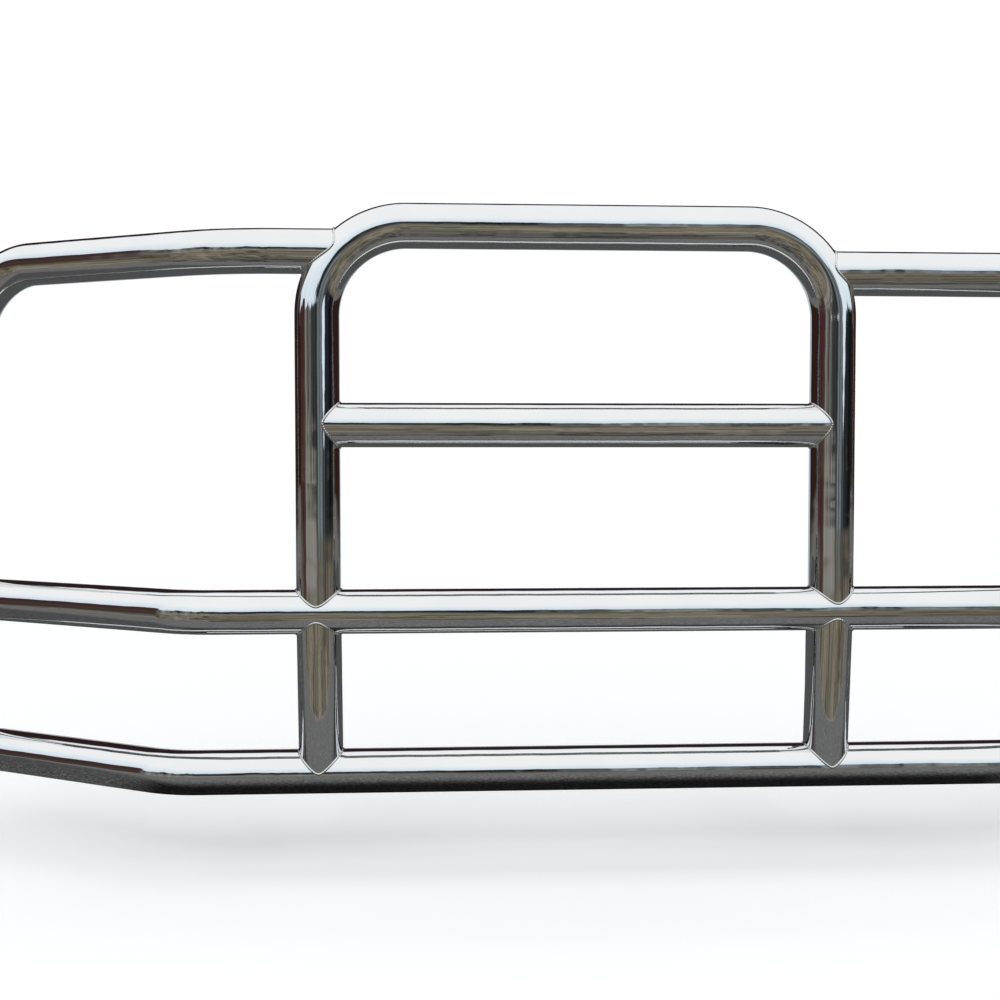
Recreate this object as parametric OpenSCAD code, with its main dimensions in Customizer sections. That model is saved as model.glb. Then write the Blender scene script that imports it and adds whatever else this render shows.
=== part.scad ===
// Front grille guard for a heavy truck.
// A welded guard of polished round tube, with an arched centre hoop and swept-back wings, hangs on
// two frame brackets. It is clamped upright by two T-handles and tilts forward on two pivot pins.
// Left and right are as seen from the front. +X is right, +Y is back towards the truck, +Z is up.
// The sizes below are measured from the centre of the mid rail; the part's own origin is midway
// between the two brackets' bolt patterns.

/* [Tubing] */
// Outside diameter of every tube
tube_d = 76.2; // [60:0.1:80]
// Wall thickness of every tube
wall = 2.5; // [2:0.1:4]
// How far one tube's axis sits behind the axis of the tube that it is welded to
weld_offset = 2.1; // [1:0.1:2.3]
// The same at the foot of a lower post, which is coped almost to the bottom rail's middle
foot_offset = 0.7; // [0.5:0.1:1.5]

/* [Centre hoop] */
// Distance between the axes of the hoop's two legs
leg_spacing = 890; // [800:1:1000]
// Height of the top bar's axis above the mid rail
hoop_h = 657; // [600:1:720]
// How far the top bar sits behind the mid rail
hoop_lean = 13.4; // [5:0.1:30]
// Centreline radius of the hoop's two corners
hoop_bend_r = 152.4; // [120:0.1:160]
// Height of the crossbar's axis above the mid rail
crossbar_h = 319; // [200:1:400]

/* [Rails] */
// Depth of the bottom rail's axis below the mid rail
rail_drop = 282; // [260:1:320]
// How far the bottom rail sits behind the mid rail
bottom_setback = 17; // [10:1:25]
// Distance from the centre to the mid rail's left bend
mid_bend_left_x = 664; // [620:1:830]
// Distance from the centre to the mid rail's right bend
mid_bend_right_x = 802; // [620:1:830]
// Distance from the centre to the bottom rail's left bend
bottom_bend_left_x = 699; // [620:1:830]
// Distance from the centre to the bottom rail's right bend
bottom_bend_right_x = 820; // [620:1:830]
// How far the mid rail is swept back where an outer upright meets it
mid_back = 194.2; // [120:0.1:220]
// How far the bottom rail is swept back where an outer upright meets it
bottom_back = 179.2; // [120:0.1:220]
// Centreline radius of the bends in both rails
rail_bend_r = 220; // [120:10:300]
// How far each rail runs on past the outer upright's axis, measured across the truck
rail_overhang = 46; // [42:1:80]

/* [Wings] */
// Distance from the centre to the outer uprights
wing_x = 1115; // [1000:1:1180]
// Height of the left wing's top tube above the mid rail
wing_left_h = 613; // [580:1:620]
// Height of the right wing's top tube above the mid rail
wing_right_h = 582; // [560:1:620]
// Distance from the centre to the left top tube's sweep bend
wing_bend_left_x = 603; // [580:1:820]
// Distance from the centre to the right top tube's sweep bend
wing_bend_right_x = 806; // [580:1:820]
// Centreline radius of the left top tube's sweep bend
wing_bend_left_r = 450; // [200:10:500]
// Centreline radius of the right top tube's sweep bend
wing_bend_right_r = 220; // [200:10:500]
// How far the top tubes are swept back at the outer corners
wing_back = 199.6; // [120:0.1:220]
// Centreline radius of the wing's outer top corner
wing_corner_r = 150; // [110:1:180]

/* [Mounting] */
// Thickness of the lug and bracket plates
plate_t = 12; // [10:0.5:14]
// Distance from the centre to the middle of each mounting lug
lug_x = 465; // [460:1:468]
// Gap between the lug and the bracket plate on each side of it
side_gap = 2; // [1.5:0.1:3]
// Distance of the pivot and clamp axes behind the mid rail
hinge_y = 90; // [88:1:94]
// Depth of the pivot axis below the mid rail
pivot_drop = 290; // [285:1:295]
// Depth of the clamp axis below the mid rail
clamp_drop = 15; // [10:1:20]
// Diameter of the pivot pins
pin_d = 20; // [16:1:22]
// Diameter of the clamp studs
stud_d = 16; // [12:1:16]
// Diameter of the four holes in each bracket for bolts to the truck's frame
frame_hole_d = 17; // [13:0.5:18]
// Thickness of the pad on each bracket that bears on the truck's frame
frame_pad_t = 3; // [2:0.5:5]
// Spacing of those holes along the truck
frame_hole_dy = 44; // [36:1:48]
// Height between those holes
frame_hole_dz = 150; // [100:1:160]

/* [Hidden] */
$fn = 96;

tube_r = tube_d / 2;
leg_x = leg_spacing / 2;
// Square tube ends stop this far short of the other tube's axis, inside its wall
end_trim = 4;
// A bend is this much slimmer than the straight tube, whose ends lap over it by bend_lap
bend_thinning = 0.05;
bend_lap = 1;
rail_end_x = wing_x + rail_overhang;
cap_flange_t = 3;
cap_dome_h = 12;

// Places of the plates across the truck, from the lug outwards and inwards
lug_in = lug_x - plate_t / 2;
lug_out = lug_x + plate_t / 2;
outer_in = lug_out + side_gap;
outer_out = outer_in + plate_t;
inner_out = lug_in - side_gap;
inner_in = inner_out - plate_t;
pivot = [hinge_y, -pivot_drop];
clamp = [hinge_y, -clamp_drop];
pivot_boss_r = 28;
clamp_boss_r = 24;

// The stop sleeve sits behind the pivot, and the lug's finger meets it when the guard is down
tilt_max = 80;
stop_reach = 42;
stop_angle = -15;
stop_r = 9;
stop_bolt_r = 6;
stop = pivot + stop_reach * [cos(stop_angle), sin(stop_angle)];
stop_margin = 1.6;
finger_angle = stop_angle - asin(stop_r / stop_reach) - tilt_max - stop_margin;
finger_reach = 47;
finger_w = 14;

bracket_front_y = hinge_y - 24;
bracket_back_y = hinge_y + 110;
frame_hole_y = bracket_back_y - 18 - frame_hole_dy / 2;
frame_hole_z = (pivot[1] + clamp[1]) / 2 + 7;
origin_shift = [0, -frame_hole_y, -frame_hole_z];

play = 0.05;
face_gap = 0.1;
bush_wall = 3;
bush_proud = 1.5;
washer_t = 3.5;
hub_r = 14;
hub_len = 30;
bar_r = 6;
bar_half = 38;
knob_r = 8.5;
pin_head_t = 8;
pin_end = 16;
clip_wire_r = 1.75;
clip_bend_r = 8.5;
clip_leg = 32;

// ---- Points along the tubes ----

function unit(v) = v / norm(v);
function mirrored(p) = [-p[0], p[1], p[2]];
function for_side(side, left, right) = side > 0 ? right : left;
function leg_y(z) = weld_offset + (hoop_lean - weld_offset) * z / hoop_h;

function hoop_path() = [
    [-leg_x, leg_y(end_trim), end_trim],
    [-leg_x, hoop_lean, hoop_h],
    [leg_x, hoop_lean, hoop_h],
    [leg_x, leg_y(end_trim), end_trim]
];

// One side of a rail, drawn on the right: its middle, its bend and its swept end
function rail_half(bend_x, back, y, z) = [
    [0, y, z],
    [bend_x, y, z],
    [rail_end_x, y + back * (rail_end_x - bend_x) / (wing_x - bend_x), z]
];

function mid_half(side) =
    let (bend_x = for_side(side, mid_bend_left_x, mid_bend_right_x))
    rail_half(bend_x, mid_back, 0, 0);

function bottom_half(side) =
    let (bend_x = for_side(side, bottom_bend_left_x, bottom_bend_right_x))
    rail_half(bend_x, bottom_back, bottom_setback, -rail_drop);

function whole_rail(left, right) = [mirrored(left[2]), mirrored(left[1]), right[1], right[2]];
function mid_path() = whole_rail(mid_half(-1), mid_half(1));
function bottom_path() = whole_rail(bottom_half(-1), bottom_half(1));

// The end of an upright on a rail's swept part: moved back square to the rail by an offset, and up
function on_swept_rail(half, back, offset, up) =
    let (along = unit(half[2] - half[1]))
    [wing_x - offset * along[1], half[1][1] + back + offset * along[0], half[1][2] + up];

// Where the hoop's corner crosses the height of a wing's top tube
function hoop_corner_x(h) =
    leg_x - hoop_bend_r + sqrt(pow(hoop_bend_r, 2) - pow(h - (hoop_h - hoop_bend_r), 2));

function wing_y(h) = leg_y(h) + weld_offset;

function wing_path(side, h) = [
    [hoop_corner_x(h) - end_trim / 2, wing_y(h), h],
    [for_side(side, wing_bend_left_x, wing_bend_right_x), wing_y(h), h],
    [wing_x, wing_y(h) + wing_back, h],
    on_swept_rail(mid_half(side), mid_back, weld_offset, end_trim)
];

function wing_post_path(side) = [
    on_swept_rail(mid_half(side), mid_back, weld_offset, -end_trim),
    on_swept_rail(bottom_half(side), bottom_back, weld_offset, end_trim)
];

function lower_post_path() = [
    [leg_x, weld_offset, -end_trim],
    [leg_x, bottom_setback + foot_offset, -rail_drop + end_trim / 2]
];

// ---- Shapes that repeat ----

// Puts its children in an axis system given by an origin and three unit vectors
module in_axes(o, x, y, z) {
    multmatrix([
        [x[0], y[0], z[0], o[0]],
        [x[1], y[1], z[1], o[1]],
        [x[2], y[2], z[2], o[2]],
        [0, 0, 0, 1]
    ])
        children();
}

// A round bar from point a to point b
module bar(a, b, r) {
    z = unit(b - a);
    x = unit(cross(abs(z[2]) < 0.9 ? [0, 0, 1] : [0, 1, 0], z));
    in_axes(a, x, cross(z, x), z)
        cylinder(h = norm(b - a), r = r);
}

// Length that a bend of radius R takes from each leg at corner b
function setback(a, b, c, R) = R * tan(acos(unit(b - a) * unit(c - b)) / 2);

// The bent stretch of a round bar at corner b, on its way from a to c
module bend(a, b, c, R, r) {
    u = unit(b - a);
    v = unit(c - b);
    w = unit(cross(u, v));
    inward = cross(w, u);
    centre = b - u * setback(a, b, c, R) + inward * R;
    in_axes(centre, -inward, u, w)
        rotate_extrude(angle = acos(u * v))
            translate([R, 0])
                circle(r);
}

// A solid round bar through the points, bent at each inner point with the radius given for it.
// Each bend is a hair slimmer than the straights, which run a little way over its ends.
module bent_bar(path, bends, r) {
    last = len(path) - 1;
    for (i = [0:last - 1]) {
        along = unit(path[i + 1] - path[i]);
        from_cut = i == 0 ? 0 : setback(path[i - 1], path[i], path[i + 1], bends[i - 1]) - bend_lap;
        to_cut = i == last - 1 ? 0 : setback(path[i], path[i + 1], path[i + 2], bends[i]) - bend_lap;
        bar(path[i] + along * from_cut, path[i + 1] - along * to_cut, r);
    }
    if (last > 1)
        for (i = [1:last - 1])
            bend(path[i - 1], path[i], path[i + 1], bends[i - 1], r - bend_thinning);
}

// The same path with both ends run on by a length
function run_on(path, length) = [
    for (i = [0:len(path) - 1])
        i == 0 ? path[0] + unit(path[0] - path[1]) * length
        : i == len(path) - 1 ? path[i] + unit(path[i] - path[i - 1]) * length
        : path[i]
];

// A hollow tube along a path
module bent_tube(path, bends) {
    difference() {
        bent_bar(path, bends, tube_r);
        bent_bar(run_on(path, 1), bends, tube_r - wall);
    }
}

module hoop_bar() bent_bar(hoop_path(), [hoop_bend_r, hoop_bend_r], tube_r);
module rail_bar(half) bent_bar(half, [rail_bend_r], tube_r);

// The middle stretches of the two rails, which are straight between their bends
module mid_middle() bar(mid_path()[1], mid_path()[2], tube_r);
module bottom_middle() bar(bottom_path()[1], bottom_path()[2], tube_r);

// Places a part that is drawn for the right-hand side (side 1) on the left (side -1)
module on_side(side) {
    if (side > 0)
        children();
    else
        mirror([1, 0, 0])
            children();
}

// Everything is drawn from the mid rail's centre and moved to the part's own origin here
module in_frame() {
    translate(origin_shift)
        children();
}

// A plate whose outline is drawn in (Y, Z), from x to x + t
module upright_plate(x, t) {
    translate([x, 0, 0])
        rotate([90, 0, 90])
            linear_extrude(t)
                children();
}

// A round bar across the truck through (y, z) = at
module cross_pin(at, x_from, x_to, r, sides = 96) {
    translate([x_from, at[0], at[1]])
        rotate([0, 90, 0])
            cylinder(h = x_to - x_from, r = r, $fn = sides);
}

// ---- The welded guard ----

module polished() color([0.78, 0.79, 0.8]) in_frame() children();
module coated() color([0.13, 0.13, 0.14]) in_frame() children();
module zinc() color([0.68, 0.68, 0.65]) in_frame() children();
module moulded() color([0.07, 0.07, 0.07]) in_frame() children();

module centre_hoop() {
    polished()
        difference() {
            bent_tube(hoop_path(), [hoop_bend_r, hoop_bend_r]);
            mid_middle();
        }
}

module crossbar() {
    y = leg_y(crossbar_h) + weld_offset;
    polished()
        difference() {
            bent_tube([[end_trim - leg_x, y, crossbar_h], [leg_x - end_trim, y, crossbar_h]], []);
            hoop_bar();
        }
}

module mid_rail() polished() bent_tube(mid_path(), [rail_bend_r, rail_bend_r]);

module bottom_rail() polished() bent_tube(bottom_path(), [rail_bend_r, rail_bend_r]);

module lower_post(side) {
    polished()
        on_side(side)
            difference() {
                bent_tube(lower_post_path(), []);
                mid_middle();
                bottom_middle();
            }
}

// Top tube, outer corner and outer upright in one bent length
module wing_tube(side, h) {
    polished()
        on_side(side)
            difference() {
                bent_tube(
                    wing_path(side, h),
                    [for_side(side, wing_bend_left_r, wing_bend_right_r), wing_corner_r]
                );
                hoop_bar();
                rail_bar(mid_half(side));
            }
}

module wing_post(side) {
    polished()
        on_side(side)
            difference() {
                bent_tube(wing_post_path(side), []);
                rail_bar(mid_half(side));
                rail_bar(bottom_half(side));
            }
}

// A domed disc that closes the end of a rail
module rail_cap(side, half) {
    end = half[2];
    dome_r = (pow(tube_r, 2) + pow(cap_dome_h, 2)) / (2 * cap_dome_h);
    z = unit(end - half[1]);
    y = [0, 0, 1];
    polished()
        on_side(side)
            in_axes(end, cross(y, z), y, z)
                intersection() {
                    cylinder(h = cap_flange_t + cap_dome_h, r = tube_r);
                    translate([0, 0, cap_flange_t + cap_dome_h - dome_r])
                        sphere(dome_r, $fn = 128);
                }
}

// ---- Parts of the mounting that move with the guard ----

// Plate behind a lower post, welded to the post and to both rails
module mounting_lug(side) {
    buried_y = 20;
    spine_w = 50;
    coated()
        on_side(side)
            difference() {
                upright_plate(lug_in, plate_t) {
                    translate(clamp)
                        circle(clamp_boss_r);
                    translate([buried_y, clamp[1] - clamp_boss_r])
                        square([hinge_y - buried_y, 2 * clamp_boss_r]);
                    translate([buried_y, pivot[1]])
                        square([spine_w, pivot_drop - clamp_drop]);
                    translate([buried_y, pivot[1] - clamp_boss_r])
                        square([hinge_y - buried_y, 2 * clamp_boss_r]);
                    translate(pivot) {
                        circle(clamp_boss_r);
                        rotate(finger_angle)
                            translate([0, -finger_w])
                                square([finger_reach, finger_w]);
                    }
                }
                bent_bar(lower_post_path(), [], tube_r);
                mid_middle();
                bottom_middle();
                cross_pin(pivot, lug_in - 1, lug_out + 1, pin_d / 2 + play + bush_wall);
                cross_pin(clamp, lug_in - 1, lug_out + 1, stud_d / 2);
            }
}

module pivot_bush(side) {
    moulded()
        on_side(side)
            difference() {
                cross_pin(pivot, lug_in - bush_proud, lug_out + bush_proud, pin_d / 2 + play + bush_wall);
                cross_pin(pivot, lug_in - 5, lug_out + 5, pin_d / 2 + play);
            }
}

module clamp_stud(side) {
    zinc()
        on_side(side)
            cross_pin(clamp, lug_in, outer_out + washer_t + hub_len / 2, stud_d / 2);
}

module clamp_pad(side) {
    moulded()
        on_side(side)
            difference() {
                cross_pin(clamp, lug_out, outer_in - face_gap, clamp_boss_r - 2);
                cross_pin(clamp, lug_out - 1, outer_in + 1, stud_d / 2 + face_gap);
            }
}

module clamp_washer(side) {
    zinc()
        on_side(side)
            difference() {
                cross_pin(clamp, outer_out + face_gap, outer_out + washer_t, stud_d + 2);
                cross_pin(clamp, outer_out - 1, outer_out + washer_t + 1, stud_d / 2 + 0.5);
            }
}

// T-handle nut: a hub that screws onto the stud, with a bar across its outer end
module clamp_handle(side) {
    hub_from = outer_out + washer_t;
    hub_to = hub_from + hub_len;
    zinc()
        on_side(side)
            difference() {
                union() {
                    cross_pin(clamp, hub_from, hub_to, hub_r);
                    translate([hub_to - 9, hinge_y - bar_half, -clamp_drop])
                        rotate([-90, 0, 0])
                            cylinder(h = 2 * bar_half, r = bar_r);
                }
                cross_pin(clamp, hub_from - 1, hub_from + hub_len / 2 + 1, stud_d / 2 + 0.4);
            }
}

module handle_knobs(side) {
    bar_x = outer_out + washer_t + hub_len - 9;
    moulded()
        on_side(side)
            for (end = [-1, 1])
                translate([bar_x, hinge_y + end * bar_half, -clamp_drop])
                    difference() {
                        sphere(knob_r, $fn = 64);
                        rotate([end * 90, 0, 0])
                            translate([0, 0, -0.01])
                                cylinder(h = 2 * knob_r, r = bar_r);
                    }
}

// ---- Frame brackets and their hardware, fixed to the truck ----

module frame_bracket(side) {
    hem_z = pivot[1] - 38;
    web_y = hinge_y + 70;
    pad_dy = frame_hole_dy + 30;
    pad_dz = frame_hole_dz + 36;
    slot_r = stud_d / 2 + 1;
    slot_fall = atan((hinge_y - bracket_front_y) / 2 / (pivot_drop - clamp_drop));
    coated()
        on_side(side)
            difference() {
                union() {
                    upright_plate(outer_in, plate_t) {
                        translate(pivot)
                            circle(pivot_boss_r);
                        polygon([
                            [bracket_front_y, clamp[1] + 27],
                            [hinge_y + 28, clamp[1] + 27],
                            [bracket_back_y, clamp[1] - 30],
                            [bracket_back_y, pivot[1] + 28],
                            [bracket_back_y - 20, hem_z],
                            [hinge_y + 22, hem_z],
                            [hinge_y, pivot[1] - pivot_boss_r],
                            [bracket_front_y, pivot[1] + 14]
                        ]);
                    }
                    upright_plate(inner_in, plate_t) {
                        translate(pivot)
                            circle(pivot_boss_r);
                        polygon([
                            [hinge_y, pivot[1] + pivot_boss_r],
                            [hinge_y + 16, pivot[1] + pivot_boss_r - 6],
                            [web_y + plate_t, pivot[1] - 2],
                            [web_y + plate_t, hem_z],
                            [hinge_y + 22, hem_z],
                            [hinge_y, pivot[1] - pivot_boss_r]
                        ]);
                    }
                    translate([inner_in + 1, web_y, hem_z])
                        cube([outer_out - inner_in - 2, plate_t, 34]);
                    upright_plate(outer_in - frame_pad_t, frame_pad_t + 1)
                        translate([frame_hole_y - pad_dy / 2, frame_hole_z - pad_dz / 2])
                            square([pad_dy, pad_dz]);
                }
                cross_pin(pivot, inner_in - 1, outer_out + 1, pin_d / 2 + play);
                cross_pin(stop, inner_in - 1, outer_out + 1, stop_bolt_r + 0.3);
                cross_pin(clamp, outer_in - 1, outer_out + 1, slot_r);
                translate([outer_in - 1, hinge_y, -clamp_drop])
                    rotate([slot_fall, 0, 0])
                        translate([0, -40, -slot_r])
                            cube([plate_t + 2, 40, 2 * slot_r]);
                for (row = [-1, 1], col = [-1, 1])
                    cross_pin(
                        [frame_hole_y + row * frame_hole_dy / 2, frame_hole_z + col * frame_hole_dz / 2],
                        outer_in - frame_pad_t - 1,
                        outer_out + 1,
                        frame_hole_d / 2
                    );
            }
}

module pivot_pin(side) {
    zinc()
        on_side(side)
            difference() {
                union() {
                    cross_pin(pivot, inner_in - pin_end, outer_out + 1, pin_d / 2);
                    cross_pin(pivot, outer_out, outer_out + pin_head_t, pin_d * 0.75);
                }
                translate([inner_in - pin_end / 2, hinge_y, -pivot_drop - pin_d])
                    cylinder(h = 2 * pin_d, r = clip_wire_r + face_gap);
            }
}

module pin_washer(side) {
    zinc()
        on_side(side)
            difference() {
                cross_pin(pivot, inner_in - washer_t, inner_in, pin_d * 0.8);
                cross_pin(pivot, inner_in - washer_t - 1, inner_in + 1, pin_d / 2 + 0.5);
            }
}

// Hairpin clip through the pin's end: one leg in the hole, the other outside the pin
module pin_clip(side) {
    zinc()
        on_side(side)
            translate([inner_in - pin_end / 2, hinge_y, -pivot_drop + clip_leg / 2])
                for (leg = [0, 1]) {
                    translate([0, leg * 2 * clip_bend_r, -clip_leg])
                        cylinder(h = clip_leg, r = clip_wire_r);
                    translate([0, clip_bend_r, 0])
                        rotate([90, 0, 90])
                            rotate_extrude(angle = 180)
                                translate([clip_bend_r, 0])
                                    circle(clip_wire_r);
                }
}

module stop_bolt(side) {
    zinc()
        on_side(side) {
            cross_pin(stop, inner_in - 14, outer_out + 1, stop_bolt_r);
            cross_pin(stop, outer_out, outer_out + 7.5, stop_bolt_r * 1.83, 6);
        }
}

module stop_sleeve(side) {
    zinc()
        on_side(side)
            difference() {
                cross_pin(stop, inner_out + face_gap, outer_in - face_gap, stop_r);
                cross_pin(stop, inner_out - 1, outer_in + 1, stop_bolt_r + 0.3);
            }
}

module stop_nut(side) {
    zinc()
        on_side(side)
            difference() {
                cross_pin(stop, inner_in - 10.5, inner_in, stop_bolt_r * 1.83, 6);
                cross_pin(stop, inner_in - 12, inner_in + 1, stop_bolt_r + play);
            }
}

centre_hoop();
crossbar();
mid_rail();
bottom_rail();
lower_post(-1);  // lower_post_left
lower_post(1);  // lower_post_right
wing_tube(-1, wing_left_h);  // wing_tube_left
wing_tube(1, wing_right_h);  // wing_tube_right
wing_post(-1);  // wing_post_left
wing_post(1);  // wing_post_right
rail_cap(-1, mid_half(-1));  // mid_rail_cap_left
rail_cap(1, mid_half(1));  // mid_rail_cap_right
rail_cap(-1, bottom_half(-1));  // bottom_rail_cap_left
rail_cap(1, bottom_half(1));  // bottom_rail_cap_right
mounting_lug(-1);  // mounting_lug_left
mounting_lug(1);  // mounting_lug_right
pivot_bush(-1);  // pivot_bush_left
pivot_bush(1);  // pivot_bush_right
clamp_stud(-1);  // clamp_stud_left
clamp_stud(1);  // clamp_stud_right
clamp_pad(-1);  // clamp_pad_left
clamp_pad(1);  // clamp_pad_right
clamp_washer(-1);  // clamp_washer_left
clamp_washer(1);  // clamp_washer_right
clamp_handle(-1);  // clamp_handle_left
clamp_handle(1);  // clamp_handle_right
handle_knobs(-1);  // handle_knobs_left
handle_knobs(1);  // handle_knobs_right
frame_bracket(-1);  // frame_bracket_left
frame_bracket(1);  // frame_bracket_right
pivot_pin(-1);  // pivot_pin_left
pivot_pin(1);  // pivot_pin_right
pin_washer(-1);  // pin_washer_left
pin_washer(1);  // pin_washer_right
pin_clip(-1);  // pin_clip_left
pin_clip(1);  // pin_clip_right
stop_bolt(-1);  // stop_bolt_left
stop_bolt(1);  // stop_bolt_right
stop_sleeve(-1);  // stop_sleeve_left
stop_sleeve(1);  // stop_sleeve_right
stop_nut(-1);  // stop_nut_left
stop_nut(1);  // stop_nut_right
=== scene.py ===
"""Front grille guard of polished round tube, hinged to two frame brackets."""
import math

import bmesh
import bpy
import numpy as np
from mathutils import Matrix, Vector


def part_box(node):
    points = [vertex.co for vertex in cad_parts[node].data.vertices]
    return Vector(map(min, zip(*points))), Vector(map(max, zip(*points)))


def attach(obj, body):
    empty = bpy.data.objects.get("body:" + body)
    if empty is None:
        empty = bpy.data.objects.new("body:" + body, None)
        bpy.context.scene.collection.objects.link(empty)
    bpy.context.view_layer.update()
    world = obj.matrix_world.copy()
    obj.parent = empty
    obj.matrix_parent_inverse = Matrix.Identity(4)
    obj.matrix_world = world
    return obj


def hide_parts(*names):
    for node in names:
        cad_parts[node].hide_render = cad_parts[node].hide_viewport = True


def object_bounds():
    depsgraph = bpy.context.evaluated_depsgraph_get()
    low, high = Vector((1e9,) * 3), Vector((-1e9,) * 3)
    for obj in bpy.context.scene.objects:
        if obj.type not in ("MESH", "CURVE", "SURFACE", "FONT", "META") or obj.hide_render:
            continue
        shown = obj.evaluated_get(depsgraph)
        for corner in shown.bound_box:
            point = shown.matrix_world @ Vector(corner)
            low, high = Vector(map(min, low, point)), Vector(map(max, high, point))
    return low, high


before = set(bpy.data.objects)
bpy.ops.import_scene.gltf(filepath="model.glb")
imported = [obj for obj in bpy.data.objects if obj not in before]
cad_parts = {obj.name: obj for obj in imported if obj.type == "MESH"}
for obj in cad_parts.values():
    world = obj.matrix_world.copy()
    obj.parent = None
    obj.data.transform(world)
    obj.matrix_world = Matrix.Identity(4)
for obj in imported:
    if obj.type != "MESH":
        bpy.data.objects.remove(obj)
cad_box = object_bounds()

# ---- Sizes, in metres and degrees ----

mid_low, mid_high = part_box("mid_rail")
hoop_low, hoop_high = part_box("centre_hoop")
bottom_low, bottom_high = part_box("bottom_rail")
crossbar_low, crossbar_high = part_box("crossbar")

TUBE_R = (mid_high.z - mid_low.z) / 2
WALL = 0.0025
WELD_OFFSET = 0.0021
FOOT_OFFSET = 0.0007
END_TRIM = 0.004
HOOP_BEND_R = 0.1524
RAIL_BEND_R = 0.220
WING_CORNER_R = 0.150
RAIL_OVERHANG = 0.046
MID_BACK = 0.1942
BOTTOM_BACK = 0.1792
WING_BACK = 0.1996
MID_BEND_X = {"left": 0.664, "right": 0.802}
BOTTOM_BEND_X = {"left": 0.699, "right": 0.820}
WING_BEND_X = {"left": 0.603, "right": 0.806}
WING_BEND_R = {"left": 0.450, "right": 0.220}

# The centre of the mid rail, from which the tubes are set out
MID = np.array((0, mid_low.y + TUBE_R, (mid_low.z + mid_high.z) / 2))
LEG_X = hoop_high.x - TUBE_R
HOOP_H = hoop_high.z - TUBE_R - MID[2]
HOOP_LEAN = hoop_high.y - TUBE_R - MID[1]
CROSSBAR_H = (crossbar_low.z + crossbar_high.z) / 2 - MID[2]
RAIL_DROP = MID[2] - (bottom_low.z + bottom_high.z) / 2
BOTTOM_SETBACK = bottom_low.y + TUBE_R - MID[1]
WING_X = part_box("wing_tube_right")[1].x - TUBE_R
RAIL_END_X = WING_X + RAIL_OVERHANG

# How finely the tubes are meshed
COLUMNS = 96
STRAIGHT_STEP = 0.05
BEND_STEP = math.radians(2.0)
COPE_REACH = 0.12
COPE_STEP = 0.001
COPE_HALVINGS = 14
RIM_CLEARANCE = 0.003

# The weld beads and their ripples
WELD_R = 0.0021
WELD_STEP = 0.0009
WELD_SIDES = 10
RIPPLE = 0.0042
RIPPLE_DEPTH = 0.07

# Hardware: faces flatter than the first angle are merged, edges sharper than the second are rounded over,
# and what is still sharper than the third is shaded as an edge
FLAT_ANGLE = math.radians(1.0)
EDGE_ANGLE = math.radians(35)
SHARP_ANGLE = math.radians(32)

SIDES = {"left": -1, "right": 1}


# ---- Lines along the tubes ----

def unit(v):
    return v / np.linalg.norm(v)


def leg_y(z):
    return WELD_OFFSET + (HOOP_LEAN - WELD_OFFSET) * z / HOOP_H


def rail_end(bend_x, back, y, z):
    return (RAIL_END_X, y + back * (RAIL_END_X - bend_x) / (WING_X - bend_x), z)


def rail_points(bends, back, y, z):
    x, end_y, _ = rail_end(bends["left"], back, y, z)
    right_end = rail_end(bends["right"], back, y, z)
    return [(-x, end_y, z), (-bends["left"], y, z), (bends["right"], y, z), right_end]


def on_swept_rail(bend_x, back, y, z):
    angle = math.atan2(back, WING_X - bend_x)
    return (WING_X - WELD_OFFSET * math.sin(angle), y + back + WELD_OFFSET * math.cos(angle), z)


def hoop_points():
    foot_y = leg_y(END_TRIM)
    return [(-LEG_X, foot_y, END_TRIM), (-LEG_X, HOOP_LEAN, HOOP_H),
            (LEG_X, HOOP_LEAN, HOOP_H), (LEG_X, foot_y, END_TRIM)]


def crossbar_points():
    y = leg_y(CROSSBAR_H) + WELD_OFFSET
    return [(END_TRIM - LEG_X, y, CROSSBAR_H), (LEG_X - END_TRIM, y, CROSSBAR_H)]


def wing_points(word, height):
    rise = height - (HOOP_H - HOOP_BEND_R)
    start_x = LEG_X - HOOP_BEND_R + math.sqrt(HOOP_BEND_R ** 2 - rise ** 2) - END_TRIM / 2
    y = leg_y(height) + WELD_OFFSET
    return [(start_x, y, height), (WING_BEND_X[word], y, height), (WING_X, y + WING_BACK, height),
            on_swept_rail(MID_BEND_X[word], MID_BACK, 0, END_TRIM)]


def wing_post_points(word):
    return [on_swept_rail(MID_BEND_X[word], MID_BACK, 0, -END_TRIM),
            on_swept_rail(BOTTOM_BEND_X[word], BOTTOM_BACK, BOTTOM_SETBACK, END_TRIM - RAIL_DROP)]


def lower_post_points():
    return [(LEG_X, WELD_OFFSET, -END_TRIM),
            (LEG_X, BOTTOM_SETBACK + FOOT_OFFSET, END_TRIM / 2 - RAIL_DROP)]


def placed(points, side=1):
    """The points in the part's own frame, mirrored for the left-hand side."""
    return [np.array((side * x, y, z)) + MID for x, y, z in points]


def turned(v, axis, angle):
    return np.array(Matrix.Rotation(angle, 3, Vector(axis)) @ Vector(v))


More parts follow.
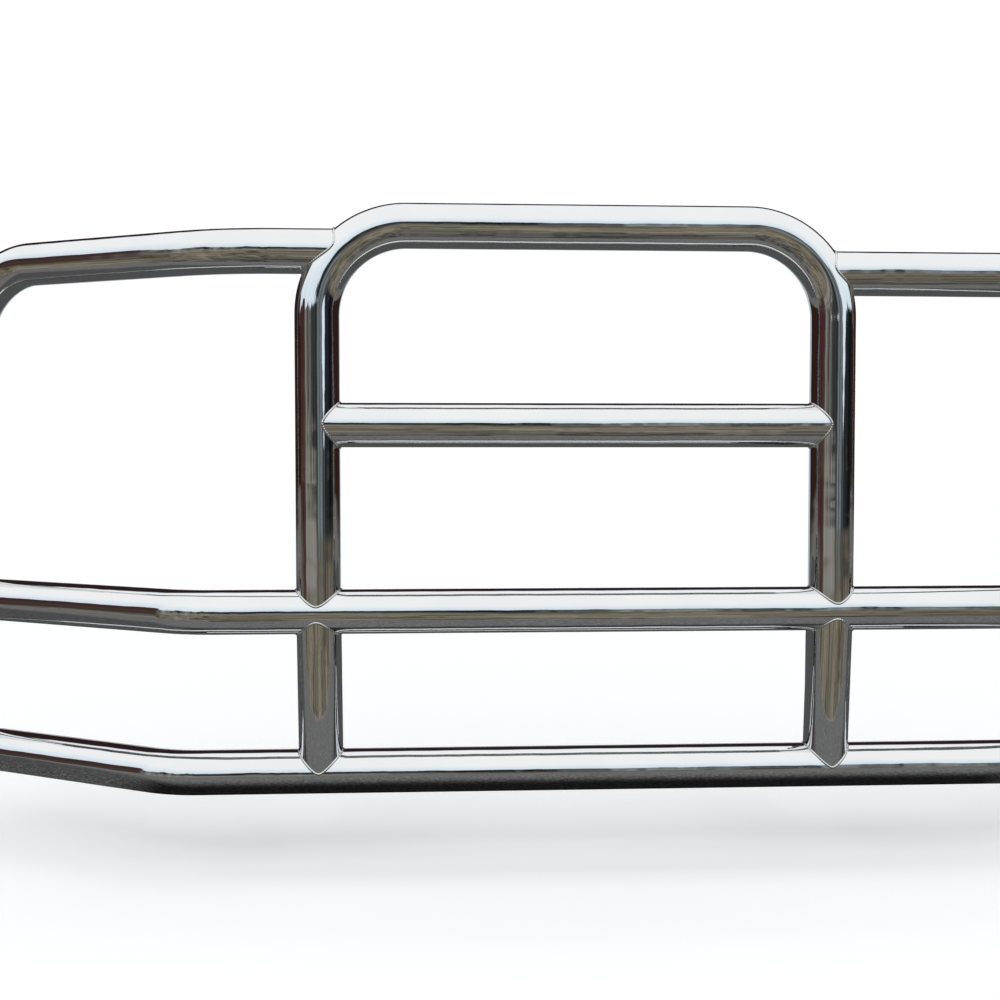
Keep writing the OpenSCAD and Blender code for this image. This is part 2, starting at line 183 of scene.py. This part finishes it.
def centreline(points, bends):
    """Stations along a bent tube: [(distance along, point, direction, side vector)]."""
    along = unit(points[1] - points[0])
    across = unit(np.cross(along, (0.0, 0.0, 1.0) if abs(along[2]) < 0.9 else (1.0, 0.0, 0.0)))
    stations = [(0.0, points[0], along, across)]
    here, travelled = points[0], 0.0
    for i in range(1, len(points)):
        last = i == len(points) - 1
        onward = along if last else unit(points[i + 1] - points[i])
        angle = 0.0 if last else math.acos(float(np.clip(along @ onward, -1, 1)))
        radius = 0.0 if last else bends[i - 1]
        stop = points[i] - along * radius * math.tan(angle / 2)
        length = float(np.linalg.norm(stop - here))
        count = max(1, math.ceil(length / STRAIGHT_STEP))
        for k in range(1, count + 1):
            reach = length * k / count
            stations.append((travelled + reach, here + along * reach, along, across))
        travelled, here = travelled + length, stop
        if last:
            break
        axis = unit(np.cross(along, onward))
        centre = here + np.cross(axis, along) * radius
        count = max(2, math.ceil(angle / BEND_STEP))
        for k in range(1, count + 1):
            part = angle * k / count
            stations.append((travelled + radius * part, centre + turned(here - centre, axis, part),
                             turned(along, axis, part), turned(across, axis, part)))
        travelled, here = travelled + radius * angle, stations[-1][1]
        along, across = onward, stations[-1][3]
    return stations


def distance_to(line, points):
    """How far each point is from a centreline, taken as short straight lengths."""
    a = np.array([s[1] for s in line[:-1]])
    b = np.array([s[1] for s in line[1:]])
    ab = b - a
    nearest = np.full(points.shape[:-1], np.inf)
    for start, step in zip(a, ab):
        t = np.clip(((points - start) @ step) / (step @ step), 0, 1)
        nearest = np.minimum(nearest, np.linalg.norm(points - start - t[..., None] * step, axis=-1))
    return nearest


def coped(point, inward, rims, neighbours):
    """How far each generator line has to be cut back from a tube's end to clear its neighbours."""
    reach = np.arange(0, COPE_REACH, COPE_STEP)
    cut = np.zeros(len(rims))
    for line in neighbours:
        samples = point + rims[:, None, :] + inward * reach[None, :, None]
        inside = distance_to(line, samples) < TUBE_R
        last = np.where(inside.any(axis=1), len(reach) - 1 - inside[:, ::-1].argmax(axis=1), -1)
        low = np.where(last >= 0, reach[np.maximum(last, 0)], 0.0)
        high = np.where(last >= 0, low + COPE_STEP, 0.0)
        for _ in range(COPE_HALVINGS):
            middle = (low + high) / 2
            still = distance_to(line, point + rims + inward * middle[:, None]) < TUBE_R
            low, high = np.where(still, middle, low), np.where(still, high, middle)
        cut = np.maximum(cut, high)
    return cut


# ---- Making pieces ----

def new_piece(name, verts, faces, material, body, smooth=True):
    mesh = bpy.data.meshes.new(name)
    mesh.from_pydata([tuple(v) for v in verts], [], faces)
    mesh.validate()
    mesh.polygons.foreach_set("use_smooth", [smooth] * len(mesh.polygons))
    piece = bpy.data.objects.new(name, mesh)
    bpy.context.scene.collection.objects.link(piece)
    mesh.materials.append(material)
    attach(piece, body)
    return piece


def sharpen_rims(piece, rows):
    """Marks the two end rims of a hollow tube as sharp, so that its polished sides stay smooth."""
    rims = {0, rows - 1, rows, 2 * rows - 1}
    mesh = piece.data
    sharp = mesh.attributes.new("sharp_edge", "BOOLEAN", "EDGE")
    for edge in mesh.edges:
        a, b = edge.vertices
        sharp.data[edge.index].value = a // COLUMNS == b // COLUMNS and a // COLUMNS in rims


def hollow_tube(name, line, material, start_near=(), end_near=()):
    """Makes a hollow tube whose ends are coped to the tubes they meet. Returns its outer rims."""
    angles = np.arange(COLUMNS) * 2 * math.pi / COLUMNS
    length = line[-1][0]

    def ring(station, radius):
        _, _, along, across = station
        up = np.cross(along, across)
        return radius * (np.cos(angles)[:, None] * across + np.sin(angles)[:, None] * up)

    layers, rims = [], []
    for radius in (TUBE_R, TUBE_R - WALL):
        first, last = line[0], line[-1]
        from_cut = coped(first[1], first[2], ring(first, radius), start_near)
        to_cut = coped(last[1], -last[2], ring(last, radius), end_near)
        start, stop = from_cut.max() + RIM_CLEARANCE, length - to_cut.max() - RIM_CLEARANCE
        middle = [s for s in line if start < s[0] < stop]
        rows = [first[1] + ring(first, radius) + first[2] * from_cut[:, None]]
        rows += [s[1] + ring(s, radius) for s in middle]
        rows.append(last[1] + ring(last, radius) - last[2] * to_cut[:, None])
        layers.append(rows)
        rims.append((rows[0], ring(first, 1.0), rows[-1], ring(last, 1.0)))
    keep = min(len(layers[0]), len(layers[1]))
    layers = [rows[:keep - 1] + rows[-1:] for rows in layers]
    loop = layers[0] + layers[1][::-1]
    faces = []
    for r in range(len(loop)):
        below, above = r * COLUMNS, ((r + 1) % len(loop)) * COLUMNS
        for j in range(COLUMNS):
            k = (j + 1) % COLUMNS
            faces.append((below + j, below + k, above + k, above + j))
    piece = new_piece(name + "_tube", np.concatenate(loop), faces, material, "guard")
    sharpen_rims(piece, keep)
    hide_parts(name)
    return rims[0]


def weld_bead(name, rim, outward, material):
    """A low rippled bead along the line where a coped end meets its neighbour."""
    closed = np.vstack([rim, rim[:1]])
    normals = np.vstack([outward, outward[:1]])
    steps = np.concatenate([[0], np.cumsum(np.linalg.norm(np.diff(closed, axis=0), axis=1))])
    count = round(steps[-1] / WELD_STEP)
    where = np.arange(count) * steps[-1] / count
    centre = np.column_stack([np.interp(where, steps, closed[:, i]) for i in range(3)])
    normal = np.column_stack([np.interp(where, steps, normals[:, i]) for i in range(3)])
    tangent = np.roll(centre, -1, axis=0) - np.roll(centre, 1, axis=0)
    tangent /= np.linalg.norm(tangent, axis=1)[:, None]
    normal -= (normal * tangent).sum(axis=1)[:, None] * tangent
    normal /= np.linalg.norm(normal, axis=1)[:, None]
    sideways = np.cross(tangent, normal)
    ripples = round(steps[-1] / RIPPLE)
    swell = WELD_R * (1 + RIPPLE_DEPTH * np.cos(2 * math.pi * ripples * where / steps[-1]))
    turn = (np.arange(WELD_SIDES) * 2 * math.pi / WELD_SIDES)[None, :, None]
    around = np.cos(turn) * normal[:, None, :] + np.sin(turn) * sideways[:, None, :]
    verts = centre[:, None, :] + swell[:, None, None] * around
    faces = []
    for i in range(count):
        a, b = i * WELD_SIDES, ((i + 1) % count) * WELD_SIDES
        for j in range(WELD_SIDES):
            k = (j + 1) % WELD_SIDES
            faces.append((a + j, a + k, b + k, b + j))
    new_piece("weld_" + name, verts.reshape(-1, 3), faces, material, "guard")


def rail_cap(name, end, direction, material):
    """A domed disc with a rolled edge that closes the end of a rail."""
    flange, dome, roll = 0.003, 0.012, 0.0022
    profile = [(TUBE_R * t, flange + dome * (1 - t * t)) for t in np.linspace(0, 0.93, 14)[1:]]
    profile += [(TUBE_R - roll + roll * math.sin(a), flange - roll + roll * math.cos(a))
                for a in np.linspace(0.35, math.pi / 2, 6)]
    profile += [(TUBE_R, 0.0)]
    z = Vector(unit(direction))
    basis = z.to_track_quat("Z", "Y").to_matrix()
    verts = [end + np.array(basis @ Vector((0, 0, flange + dome)))]
    for radius, height in profile:
        for j in range(COLUMNS):
            a = 2 * math.pi * j / COLUMNS
            verts.append(end + np.array(basis @ Vector((radius * math.cos(a), radius * math.sin(a), height))))
    faces = [(0, 1 + j, 1 + (j + 1) % COLUMNS) for j in range(COLUMNS)]
    for r in range(len(profile) - 1):
        a, b = 1 + r * COLUMNS, 1 + (r + 1) * COLUMNS
        faces += [(a + j, b + j, b + (j + 1) % COLUMNS, a + (j + 1) % COLUMNS) for j in range(COLUMNS)]
    faces.append(tuple(1 + (len(profile) - 1) * COLUMNS + j for j in range(COLUMNS - 1, -1, -1)))
    piece = new_piece(name + "_dome", verts, faces, material, "guard")
    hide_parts(name)


def softened(node, body, material, width):
    """A copy of a CAD node with its sharp edges rounded over, which stands for the node."""
    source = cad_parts[node]
    mesh = source.data.copy()
    mesh.materials.clear()
    mesh.materials.append(material)
    build = bmesh.new()
    build.from_mesh(mesh)
    bmesh.ops.remove_doubles(build, verts=build.verts, dist=1e-6)
    bmesh.ops.dissolve_limit(build, angle_limit=FLAT_ANGLE, verts=build.verts, edges=build.edges)
    edges = [e for e in build.edges if e.is_manifold and e.calc_face_angle(0) > EDGE_ANGLE]
    bmesh.ops.bevel(build, geom=edges, offset=width, segments=2, profile=0.5,
                    affect="EDGES", clamp_overlap=True)
    for face in build.faces:
        face.smooth = True
    build.to_mesh(mesh)
    build.free()
    mesh.set_sharp_from_angle(angle=SHARP_ANGLE)
    piece = bpy.data.objects.new(node + "_part", mesh)
    bpy.context.scene.collection.objects.link(piece)
    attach(piece, body)
    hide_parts(node)


# ---- Materials ----

class Net:
    """A node tree with short calls for the nodes that these materials use."""

    def __init__(self, tree):
        self.nodes = tree.nodes
        self.links = tree.links

    def put(self, socket, value):
        if hasattr(value, "is_output"):
            self.links.new(value, socket)
        else:
            socket.default_value = value

    def math(self, operation, a, b=0.0):
        node = self.nodes.new("ShaderNodeMath")
        node.operation = operation
        self.put(node.inputs[0], a)
        self.put(node.inputs[1], b)
        return node.outputs[0]

    def span(self, value, low, high, to_low=0.0, to_high=1.0, smooth=False):
        node = self.nodes.new("ShaderNodeMapRange")
        node.interpolation_type = "SMOOTHSTEP" if smooth else "LINEAR"
        for socket, number in zip(node.inputs, (value, low, high, to_low, to_high)):
            self.put(socket, number)
        return node.outputs[0]

    def ramp(self, value, stops):
        node = self.nodes.new("ShaderNodeValToRGB")
        self.put(node.inputs[0], value)
        marks = node.color_ramp.elements
        marks[0].position, marks[1].position = stops[0][0], stops[-1][0]
        marks[0].color, marks[1].color = (*stops[0][1], 1), (*stops[-1][1], 1)
        for place, colour in stops[1:-1]:
            marks.new(place).color = (*colour, 1)
        return node.outputs[0]

    def mix(self, share, a, b, blend="MIX"):
        node = self.nodes.new("ShaderNodeMix")
        node.data_type = "RGBA"
        node.blend_type = blend
        self.put(node.inputs["Factor"], share)
        for socket, value in ((node.inputs[6], a), (node.inputs[7], b)):
            self.put(socket, value if hasattr(value, "is_output") else (*value, 1))
        return node.outputs[2]

    def vector(self, x, y, z):
        node = self.nodes.new("ShaderNodeCombineXYZ")
        for socket, value in zip(node.inputs, (x, y, z)):
            self.put(socket, value)
        return node.outputs[0]

    def noise(self, where, scale, detail=2.0, rough=0.5):
        node = self.nodes.new("ShaderNodeTexNoise")
        self.put(node.inputs["Vector"], where)
        self.put(node.inputs["Scale"], scale)
        self.put(node.inputs["Detail"], detail)
        self.put(node.inputs["Roughness"], rough)
        return node.outputs[0]

    def bump(self, height, strength, distance):
        node = self.nodes.new("ShaderNodeBump")
        self.put(node.inputs["Strength"], strength)
        self.put(node.inputs["Distance"], distance)
        self.put(node.inputs["Height"], height)
        return node.outputs[0]


def surface(name, metallic, **settings):
    """A new material: (material, its net, its Principled shader, its object coordinates)."""
    material = bpy.data.materials.new(name)
    material.use_nodes = True
    net = Net(material.node_tree)
    shader = net.nodes["Principled BSDF"]
    shader.inputs["Metallic"].default_value = metallic
    for key, value in settings.items():
        shader.inputs[key.replace("_", " ")].default_value = value
    place = net.nodes.new("ShaderNodeTexCoord").outputs["Object"]
    return material, net, shader, place


def polished_stainless():
    material, net, shader, place = surface("polished_stainless", 1.0)
    patches = net.noise(place, 9.0, 3.0)
    net.put(shader.inputs["Base Color"], net.mix(patches, (0.86, 0.86, 0.85), (0.78, 0.79, 0.80)))
    haze = net.noise(place, 420.0, 4.0, 0.6)
    net.put(shader.inputs["Roughness"], net.span(haze, 0.3, 0.75, 0.012, 0.055))
    waves = net.noise(place, 16.0, 1.0)
    grain = net.noise(place, 900.0, 2.0)
    height = net.math("ADD", waves, net.math("MULTIPLY", grain, 0.006))
    net.put(shader.inputs["Normal"], net.bump(height, 1.0, 0.0011))
    return material


def weld_metal():
    material, net, shader, place = surface("brushed_weld", 1.0)
    tint = net.noise(place, 260.0, 3.0)
    net.put(shader.inputs["Base Color"], net.mix(tint, (0.80, 0.80, 0.79), (0.62, 0.61, 0.60)))
    net.put(shader.inputs["Roughness"], net.span(tint, 0.3, 0.7, 0.12, 0.26))
    net.put(shader.inputs["Normal"], net.bump(net.noise(place, 1400.0, 3.0), 0.35, 0.0002))
    return material


def powder_coat():
    material, net, shader, place = surface("black_powder_coat", 0.0, Specular_IOR_Level=0.45)
    dust = net.noise(place, 14.0, 5.0, 0.6)
    tint = net.mix(net.span(dust, 0.45, 0.8), (0.016, 0.016, 0.018), (0.035, 0.034, 0.033))
    net.put(shader.inputs["Base Color"], tint)
    net.put(shader.inputs["Roughness"], net.span(dust, 0.3, 0.7, 0.38, 0.55))
    peel = net.noise(place, 620.0, 2.0)
    net.put(shader.inputs["Normal"], net.bump(peel, 0.35, 0.0004))
    return material


def zinc_plate():
    material, net, shader, place = surface("bright_zinc", 1.0)
    bloom = net.noise(place, 130.0, 4.0, 0.6)
    tint = net.ramp(bloom, [(0.3, (0.60, 0.61, 0.60)), (0.5, (0.70, 0.69, 0.62)), (0.7, (0.55, 0.58, 0.63))])
    net.put(shader.inputs["Base Color"], tint)
    net.put(shader.inputs["Roughness"], net.span(bloom, 0.3, 0.7, 0.24, 0.42))
    net.put(shader.inputs["Normal"], net.bump(net.noise(place, 1600.0, 2.0), 0.2, 0.0001))
    return material


def moulded_black(name, low, high, coarse):
    material, net, shader, place = surface(name, 0.0)
    cloud = net.noise(place, 45.0, 4.0)
    net.put(shader.inputs["Base Color"], net.mix(cloud, (0.012, 0.012, 0.013), (0.028, 0.027, 0.027)))
    net.put(shader.inputs["Roughness"], net.span(cloud, 0.3, 0.7, low, high))
    net.put(shader.inputs["Normal"], net.bump(net.noise(place, coarse, 3.0), 0.3, 0.0002))
    return material


STEEL = polished_stainless()
WELD = weld_metal()
COAT = powder_coat()
ZINC = zinc_plate()
NYLON = moulded_black("black_nylon", 0.25, 0.4, 900.0)
RUBBER = moulded_black("black_rubber", 0.6, 0.8, 500.0)


# ---- The welded guard ----

hoop_line = centreline(placed(hoop_points()), [HOOP_BEND_R] * 2)
mid_line = centreline(placed(rail_points(MID_BEND_X, MID_BACK, 0, 0)), [RAIL_BEND_R] * 2)
bottom_line = centreline(placed(rail_points(BOTTOM_BEND_X, BOTTOM_BACK, BOTTOM_SETBACK, -RAIL_DROP)),
                         [RAIL_BEND_R] * 2)


def welded(name, line, start_near=(), end_near=()):
    """A tube with a bead at each end that is welded to another tube."""
    start_rim, start_out, end_rim, end_out = hollow_tube(name, line, STEEL, start_near, end_near)
    if start_near:
        weld_bead(name + "_start", start_rim, start_out, WELD)
    if end_near:
        weld_bead(name + "_end", end_rim, end_out, WELD)


welded("mid_rail", mid_line)
welded("bottom_rail", bottom_line)
welded("centre_hoop", hoop_line, [mid_line], [mid_line])
welded("crossbar", centreline(placed(crossbar_points()), []), [hoop_line], [hoop_line])
for word, side in SIDES.items():
    wing_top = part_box("wing_tube_" + word)[1].z - TUBE_R - MID[2]
    wing_line = centreline(placed(wing_points(word, wing_top), side), [WING_BEND_R[word], WING_CORNER_R])
    welded("wing_tube_" + word, wing_line, [hoop_line], [mid_line])
    for post, points in (("lower_post_", lower_post_points()), ("wing_post_", wing_post_points(word))):
        welded(post + word, centreline(placed(points, side), []), [mid_line], [bottom_line])
    for rail, line in (("mid", mid_line), ("bottom", bottom_line)):
        station = line[-1] if side > 0 else line[0]
        rail_cap(rail + "_rail_cap_" + word, station[1], side * station[2], STEEL)

# ---- Mounting hardware ----

# Node: its body, material slot, material and how far its edges are rounded
HARDWARE = {
    "mounting_lug": ("guard", "black_plate", COAT, 0.0010),
    "pivot_bush": ("guard", "black_nylon", NYLON, 0.0003),
    "clamp_stud": ("guard", "zinc_plated", ZINC, 0.0010),
    "clamp_pad": ("guard", "black_rubber", RUBBER, 0.0003),
    "clamp_washer": ("SIDE_washer", "zinc_plated", ZINC, 0.0004),
    "clamp_handle": ("SIDE_handle", "zinc_plated", ZINC, 0.0012),
    "handle_knobs": ("SIDE_handle", "black_nylon", NYLON, 0.0003),
    "frame_bracket": ("brackets", "black_plate", COAT, 0.0010),
    "pivot_pin": ("brackets", "zinc_plated", ZINC, 0.0010),
    "pin_washer": ("brackets", "zinc_plated", ZINC, 0.0004),
    "pin_clip": ("brackets", "zinc_plated", ZINC, 0.0003),
    "stop_bolt": ("brackets", "zinc_plated", ZINC, 0.0006),
    "stop_sleeve": ("brackets", "zinc_plated", ZINC, 0.0004),
    "stop_nut": ("brackets", "zinc_plated", ZINC, 0.0006),
}
for kind, (body, slot, material, width) in HARDWARE.items():
    for word in SIDES:
        softened(kind + "_" + word, body.replace("SIDE", word), material, width)


# ---- Surroundings ----

def at(degrees):
    """Where an elevation lies on a ramp from straight down to straight up."""
    return 0.5 + degrees / 180


def towards(degrees):
    """Where a bearing lies on a ramp that runs all the way round, with 0 straight ahead of the guard."""
    return 0.5 + degrees / 360


def within(net, value, low, high, low_blur, high_blur):
    """One between low and high, and zero outside, blurred outwards."""
    rising = net.span(value, low - low_blur, low)
    return net.math("MULTIPLY", rising, net.span(value, high, high + high_blur, 1.0, 0.0))


def olive_ground(net, x, y, z, height, bearing):
    """How bright the gravel ahead is from place to place, in streaks that run away from the guard."""
    depth = net.math("MAXIMUM", net.math("MULTIPLY", z, -1.0), 0.03)
    spot = net.vector(net.math("DIVIDE", x, depth), net.math("DIVIDE", y, depth), 0.0)
    gravel = net.span(net.noise(spot, 6.0, 7.0, 0.72), 0.32, 0.70, 0.40, 1.60)
    where = net.vector(net.math("MULTIPLY", bearing, 3.2), net.math("MULTIPLY", height, 7.0), 3.0)
    lanes = net.span(net.noise(where, 2.2, 5.0, 0.72), 0.36, 0.64, 0.40, 1.75)
    return net.math("MULTIPLY", gravel, lanes)


def view_ahead(net, x, y, z, height, bearing):
    """What the guard's front faces: white sky, a dark skyline, a lorry on the left, a road and the ground."""
    def patch(middle, half_width, blur):
        away = net.math("ABSOLUTE", net.math("SUBTRACT", bearing, middle))
        return net.span(away, half_width - blur, half_width + blur, 1.0, 0.0)

    steps = net.noise(net.vector(bearing, 0.0, 0.0), 3.4, 4.0, 0.62)
    roofs = net.span(steps, 0.36, 0.66, -0.004, 0.034)
    lorry = patch(-1.17, 0.16, 0.05)
    glade = patch(0.66, 0.13, 0.12)
    top = net.math("MAXIMUM", roofs, net.math("MULTIPLY", lorry, 0.045))
    top = net.math("SUBTRACT", top, net.math("MULTIPLY", glade, 0.040))
    raised = net.math("MULTIPLY", net.math("GREATER_THAN", height, 0.0), top)
    place = net.math("ADD", net.math("SUBTRACT", height, raised), 0.5)
    ahead = net.ramp(place, [
        (at(-90), (0.05, 0.05, 0.05)), (at(-45), (0.10, 0.095, 0.085)), (at(-30), (0.165, 0.15, 0.115)),
        (at(-10), (0.15, 0.135, 0.10)), (at(-5), (0.11, 0.10, 0.08)), (at(8), (0.06, 0.06, 0.055)),
        (at(9), (0.72, 0.84, 0.94)), (at(30), (0.97, 0.99, 1.0)), (at(90), (1, 1, 1))])
    gravel = net.mix(1.0, ahead, olive_ground(net, x, y, z, height, bearing), "MULTIPLY")
    ahead = net.mix(net.span(z, -0.09, -0.05, 1.0, 0.0), ahead, gravel)

    skyline = net.ramp(net.math("ADD", net.math("DIVIDE", bearing, 2 * math.pi), 0.5), [
        (towards(-66), (0.045, 0.024, 0.020)), (towards(-58), (0.14, 0.13, 0.12)),
        (towards(-30), (0.11, 0.11, 0.10)), (towards(-18), (0.025, 0.026, 0.026)),
        (towards(2), (0.030, 0.034, 0.036)), (towards(9), (0.10, 0.115, 0.12)),
        (towards(24), (0.16, 0.18, 0.19)), (towards(34), (0.05, 0.06, 0.065)),
        (towards(50), (0.022, 0.026, 0.030)), (towards(64), (0.008, 0.009, 0.010))])
    streaks = net.noise(net.vector(net.math("MULTIPLY", bearing, 5.0), height, 0.0), 1.6, 4.0, 0.7)
    skyline = net.mix(1.0, skyline, net.span(streaks, 0.40, 0.62, 0.10, 2.3), "MULTIPLY")
    ahead = net.mix(within(net, place, at(-2), at(8), 3 / 180, 0.6 / 180), ahead, skyline)

    concrete = net.mix(1.0, (0.26, 0.25, 0.225), net.span(streaks, 0.38, 0.62, 0.75, 1.2), "MULTIPLY")
    road = within(net, place, at(-5), at(-2.5), 2 / 180, 2.5 / 180)
    ahead = net.mix(net.math("MULTIPLY", patch(-0.58, 0.56, 0.08), road), ahead, concrete)

    brown = net.ramp(place, [(at(-9), (0.075, 0.050, 0.042)), (at(0), (0.045, 0.028, 0.026)),
                             (at(8), (0.060, 0.030, 0.034))])
    crimson = net.ramp(place, [(at(-9), (0.075, 0.045, 0.038)), (at(-2), (0.085, 0.012, 0.022)),
                               (at(8), (0.12, 0.014, 0.032))])
    paint = net.mix(patch(-1.30, 0.055, 0.015), brown, crimson)
    body = net.math("MULTIPLY", lorry, within(net, place, at(-8), at(8), 2 / 180, 0.6 / 180))
    return net.mix(body, ahead, paint)


def view_behind(net, y, z, bearing):
    """What lies behind the guard: grey ground and a dark wall with a pale gate, under a white sky."""
    slope = net.math("ARCTANGENT", net.math("DIVIDE", z, net.math("MAXIMUM", y, 0.25)))
    rise = net.math("ADD", net.math("DIVIDE", slope, math.pi), 0.5)
    wall = net.ramp(rise, [
        (at(-90), (0.02, 0.02, 0.02)), (at(-60), (0.03, 0.03, 0.03)), (at(-45), (0.13, 0.13, 0.13)),
        (at(-9), (0.15, 0.146, 0.136)), (at(-4), (0.030, 0.014, 0.010)), (at(12), (0.028, 0.013, 0.011)),
        (at(46), (0.022, 0.014, 0.014)), (at(50), (0.06, 0.05, 0.06)), (at(54), (0.95, 0.97, 1.0)),
        (at(79), (1, 1, 1)), (at(80), (0.22, 0.22, 0.27)), (at(82), (0.22, 0.22, 0.27)),
        (at(83), (1, 1, 1)), (at(90), (1, 1, 1))])
    opposite = net.math("SUBTRACT", math.pi, net.math("ABSOLUTE", bearing))
    gate = net.math("MULTIPLY", net.span(opposite, 0.40, 0.48, 1.0, 0.0),
                    within(net, rise, at(-11), at(9), 1 / 180, 1 / 180))
    return net.mix(gate, wall, (0.50, 0.56, 0.62))


def world_light():
    """An overcast yard all round, which the polished tubes reflect. The camera sees plain white."""
    world = bpy.data.worlds.new("yard")
    bpy.context.scene.world = world
    world.use_nodes = True
    net = Net(world.node_tree)
    backdrop = net.nodes["Background"]
    direction = net.nodes.new("ShaderNodeTexCoord").outputs["Generated"]
    split = net.nodes.new("ShaderNodeSeparateXYZ")
    net.links.new(direction, split.inputs[0])
    x, y, z = split.outputs
    height = net.math("DIVIDE", net.math("ARCSINE", z), math.pi)
    bearing = net.math("ARCTAN2", x, net.math("MULTIPLY", y, -1.0))
    ahead = view_ahead(net, x, y, z, height, bearing)
    yard = net.mix(net.span(y, -0.05, 0.05, smooth=True), ahead, view_behind(net, y, z, bearing))

    camera_ray = net.nodes.new("ShaderNodeLightPath").outputs["Is Camera Ray"]
    net.put(backdrop.inputs["Color"], net.mix(camera_ray, yard, (1.0, 1.0, 1.0)))
    backdrop.inputs["Strength"].default_value = 1.05


def flat_sheet(name, low_x, high_x, low_y, high_y, z, material):
    mesh = bpy.data.meshes.new(name)
    mesh.from_pydata([(low_x, low_y, z), (high_x, low_y, z), (high_x, high_y, z), (low_x, high_y, z)],
                     [], [(0, 1, 2, 3)])
    mesh.materials.append(material)
    sheet = bpy.data.objects.new(name, mesh)
    bpy.context.scene.collection.objects.link(sheet)
    return sheet


def stage():
    """A pale floor, and just under the guard a hidden dark sheet painted as ground, which glows and only the
    polish reflects: a painted reflection with a painted shadow under the guard, lighter ground ahead and a
    painted white line behind.
    """
    ground_z = cad_box[0].z - 0.003
    floor_z = cad_box[0].z - 0.10
    floor_reach = 15
    ground_reach = 3.2
    front_y, back_y = MID[1] - 0.42, MID[1] + 2.5
    shade_x, shade_y = 0.72, MID[1] + 0.045
    painted_line_y, painted_line_half_width = MID[1] + 0.14, 0.016

    pale, _, shader, _ = surface("pale_floor", 0.0, Roughness=0.9)
    shader.inputs["Base Color"].default_value = (0.92, 0.92, 0.92, 1)
    shader.inputs["Emission Color"].default_value = (1, 1, 1, 1)
    shader.inputs["Emission Strength"].default_value = 0.30
    floor = flat_sheet("floor", -floor_reach, floor_reach, -floor_reach, floor_reach, floor_z, pale)
    floor.visible_glossy = False

    # The hidden sheet's material glows with painted ground, painted shadow and painted light, and shows only
    # as a reflection in the polish
    dark, net, _, place = surface("reflected_ground_glow", 0.0, Roughness=1.0, Specular_IOR_Level=0.0)
    split = net.nodes.new("ShaderNodeSeparateXYZ")
    net.links.new(place, split.inputs[0])
    east, north, _ = split.outputs
    pebbles = net.noise(place, 150.0, 6.0, 0.75)
    colour = net.ramp(pebbles, [(0.3, (0.016, 0.016, 0.016)), (0.52, (0.085, 0.085, 0.085)),
                                (0.72, (0.24, 0.24, 0.24))])
    # Painted shadow: the reflected ground is darkened to 0.12 of its colour in a band just under the guard,
    # between its outer posts
    beside = net.math("ABSOLUTE", net.math("SUBTRACT", north, shade_y))
    outside = net.span(net.math("ABSOLUTE", east), shade_x, shade_x + 0.13)
    shadow = net.math("MAXIMUM", net.span(beside, 0.07, 0.14, 0.12, 1.0, smooth=True), outside)
    colour = net.mix(1.0, colour, shadow, "MULTIPLY")
    # Painted light and shade: the reflected ground ahead of the guard is up to 1.9 times brighter than the
    # shaded ground under and behind it
    colour = net.mix(1.0, colour, net.span(north, MID[1] - 0.14, MID[1] - 0.04, 1.9, 1.0), "MULTIPLY")
    edge = net.span(net.math("ADD", north, net.math("MULTIPLY", net.noise(place, 9.0, 4.0), 0.05)),
                    MID[1] - 0.395, MID[1] - 0.375, 1.0, 0.0)
    colour = net.mix(edge, colour, (0.26, 0.25, 0.22))
    # Painted reflection: a thin glowing white line on the hidden sheet just behind the guard, across its
    # middle, which the tubes reflect as a pale line
    painted_white_line = net.math("COMPARE", north, painted_line_y)
    painted_white_line.node.inputs[2].default_value = painted_line_half_width
    painted_white_line = net.math("MULTIPLY", painted_white_line, net.math("LESS_THAN", net.math("ABSOLUTE", east), shade_x))
    # The sheet glows with no lamp behind it and is hidden from all but glossy rays, so all of it is a painted
    # reflection
    glow = net.nodes.new("ShaderNodeEmission")
    net.put(glow.inputs["Color"], net.mix(painted_white_line, colour, (0.9, 0.92, 0.92)))
    net.links.new(glow.outputs[0], net.nodes["Material Output"].inputs["Surface"])
    ground = flat_sheet("yard", -ground_reach, ground_reach, front_y, back_y, ground_z, dark)
    for ray in ("camera", "diffuse", "transmission", "volume_scatter", "shadow"):
        setattr(ground, "visible_" + ray, False)


def camera():
    """The photograph's view: from the left of the centre plane, a little above the mid rail."""
    yaw, pitch = math.radians(-2.52), math.radians(-2.83)
    aim = Matrix.Rotation(yaw, 3, "Z") @ Matrix.Rotation(pitch, 3, "X")
    right, ahead, up = (aim @ Vector(v) for v in ((1, 0, 0), (0, 1, 0), (0, 0, 1)))
    lens = bpy.data.cameras.new("camera")
    lens.lens = 36.84
    lens.sensor_width = 36.0
    viewer = bpy.data.objects.new("camera", lens)
    turn = Matrix((right, up, -ahead)).transposed().to_4x4()
    viewer.matrix_world = Matrix.Translation(Vector(MID) + Vector((-0.2114, -1.753, 0.2775))) @ turn
    bpy.context.scene.collection.objects.link(viewer)
    bpy.context.scene.camera = viewer


world_light()
stage()
camera()
bpy.context.scene.view_settings.view_transform = "Standard"
